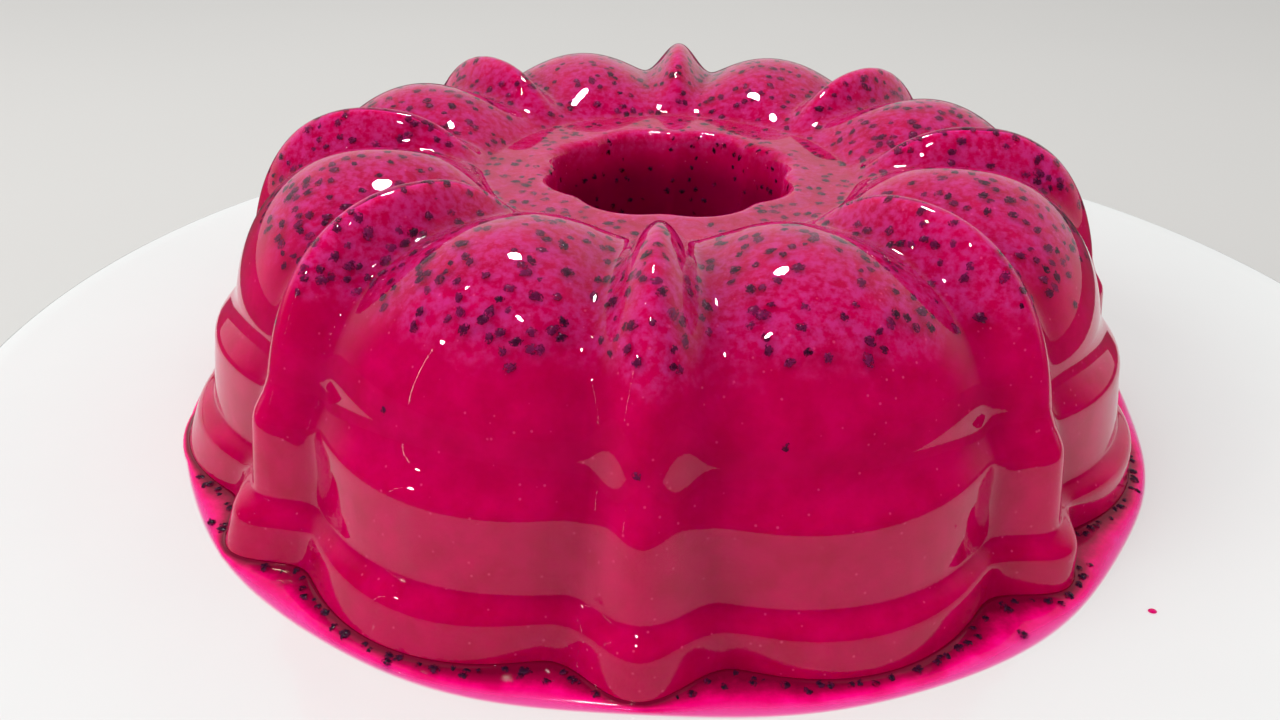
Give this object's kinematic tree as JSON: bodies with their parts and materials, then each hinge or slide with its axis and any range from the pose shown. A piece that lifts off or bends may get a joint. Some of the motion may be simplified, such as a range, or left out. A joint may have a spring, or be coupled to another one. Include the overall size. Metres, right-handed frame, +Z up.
{
  "type": "fruit pudding",
  "caption": "fluted ring of set fruit jelly with an open middle and a stepped foot, turned out on a round shallow plate in a thin puddle of its syrup",
  "frame": {"origin": "centre of the plate's foot, on the surface the plate stands on", "axes": "+Z up; one narrow ridge of the ring points along -Y, towards the viewer of the front"},
  "size_m": [0.352, 0.352, 0.0749],
  "materials": {
    "jelly": "wet, glossy, slightly cloudy set jelly with small dark seeds",
    "syrup": "thin clear wet syrup",
    "porcelain": "smooth white glazed porcelain"
  },
  "bodies": {
    "root": {"pudding": "jelly", "syrup": "syrup", "plate": "porcelain"}
  },
  "joints": []
}
